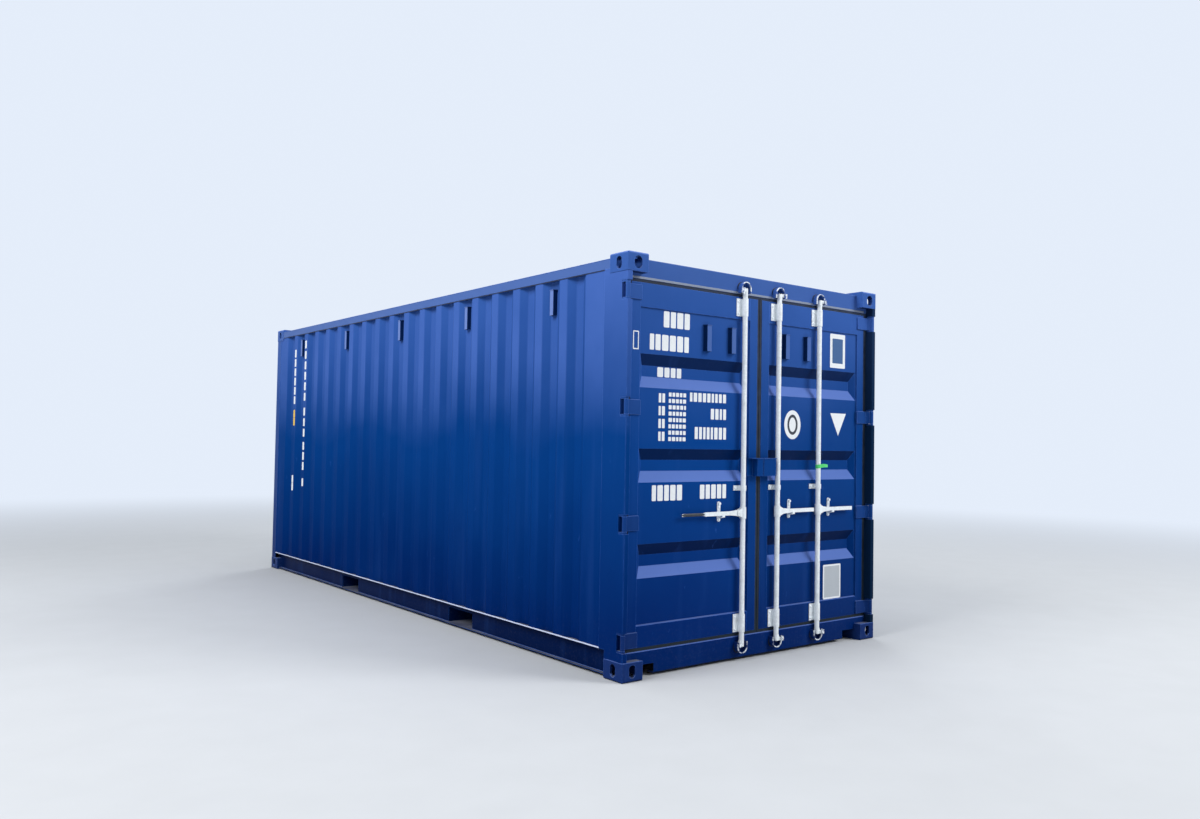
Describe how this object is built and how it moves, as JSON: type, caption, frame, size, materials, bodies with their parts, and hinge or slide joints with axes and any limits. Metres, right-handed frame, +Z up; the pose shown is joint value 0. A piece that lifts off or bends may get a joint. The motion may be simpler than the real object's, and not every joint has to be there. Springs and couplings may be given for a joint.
{
  "type": "shipping container",
  "caption": "Steel freight container with corrugated walls, two hinged doors, lock rods with handles, and hollow corner castings.",
  "frame": {"origin": "middle of the footprint, on the ground", "axes": "+Z up, +Y from the doors to the blind end, +X to the right as seen by someone who faces the doors"},
  "size_m": [2.438, 6.058, 2.591],
  "materials": {
    "blue_paint": "satin",
    "galvanised": "matte",
    "gasket_rubber": "matte",
    "plywood": "satin"
  },
  "bodies": {
    "frame": {"top_corner_castings": "blue_paint", "bottom_corner_castings": "blue_paint", "door_corner_posts": "blue_paint", "blind_corner_posts": "blue_paint", "top_side_rails": "blue_paint", "blind_top_rail": "blue_paint", "door_header": "blue_paint", "bottom_side_rails": "blue_paint", "blind_bottom_rail": "blue_paint", "door_sill": "blue_paint", "cross_members": "blue_paint", "fork_pockets": "blue_paint", "floor": "plywood", "left_side_wall": "blue_paint", "right_side_wall": "blue_paint", "blind_end_wall": "blue_paint", "roof": "blue_paint", "roof_end_plates": "blue_paint", "side_vents": "blue_paint", "frame_hinges": "blue_paint", "cam_keepers": "blue_paint"},
    "left_door": {"left_door_stiles": "blue_paint", "left_door_rails": "blue_paint", "left_door_panel": "blue_paint", "left_door_gasket": "gasket_rubber", "left_door_hinges": "blue_paint", "left_door_vents": "blue_paint", "left_rod_brackets": "galvanised", "left_handle_catch": "galvanised", "left_lock_box": "blue_paint"},
    "left_rod": {"left_rod": "galvanised"},
    "left_handle": {"left_handle": "galvanised"},
    "right_door": {"right_door_stiles": "blue_paint", "right_door_rails": "blue_paint", "right_door_panel": "blue_paint", "right_door_gasket": "gasket_rubber", "right_door_hinges": "blue_paint", "right_door_vents": "blue_paint", "right_rod_brackets": "galvanised", "right_handle_catches": "galvanised", "right_lock_box": "blue_paint"},
    "right_inner_rod": {"inner_rod": "galvanised"},
    "right_inner_handle": {"inner_handle": "galvanised"},
    "right_outer_rod": {"outer_rod": "galvanised"},
    "right_outer_handle": {"outer_handle": "galvanised"}
  },
  "joints": [
    {"name": "left_door_swing", "type": "hinge", "parent": "frame", "child": "left_door", "pos_m": [-1.199, -3.007, 1.3], "axis": [0, 0, -1], "range_deg": [0, 266]},
    {"name": "right_door_swing", "type": "hinge", "parent": "frame", "child": "right_door", "pos_m": [1.199, -3.007, 1.3], "axis": [0, 0, 1], "range_deg": [0, 266]},
    {"name": "left_rod_turn", "type": "hinge", "parent": "left_door", "child": "left_rod", "pos_m": [-0.17, -2.995, 1.3], "axis": [0, 0, -1], "range_deg": [-110, 0]},
    {"name": "right_inner_rod_turn", "type": "hinge", "parent": "right_door", "child": "right_inner_rod", "pos_m": [0.17, -2.995, 1.3], "axis": [0, 0, 1], "range_deg": [-110, 0]},
    {"name": "right_outer_rod_turn", "type": "hinge", "parent": "right_door", "child": "right_outer_rod", "pos_m": [0.6, -2.995, 1.3], "axis": [0, 0, 1], "range_deg": [-110, 0]},
    {"name": "left_handle_lift", "type": "hinge", "parent": "left_rod", "child": "left_handle", "pos_m": [-0.216, -2.995, 0.978], "axis": [0, 1, 0], "range_deg": [0, 35]},
    {"name": "right_inner_handle_lift", "type": "hinge", "parent": "right_inner_rod", "child": "right_inner_handle", "pos_m": [0.216, -2.995, 0.978], "axis": [0, -1, 0], "range_deg": [0, 35]},
    {"name": "right_outer_handle_lift", "type": "hinge", "parent": "right_outer_rod", "child": "right_outer_handle", "pos_m": [0.646, -2.995, 0.978], "axis": [0, -1, 0], "range_deg": [0, 35]}
  ]
}
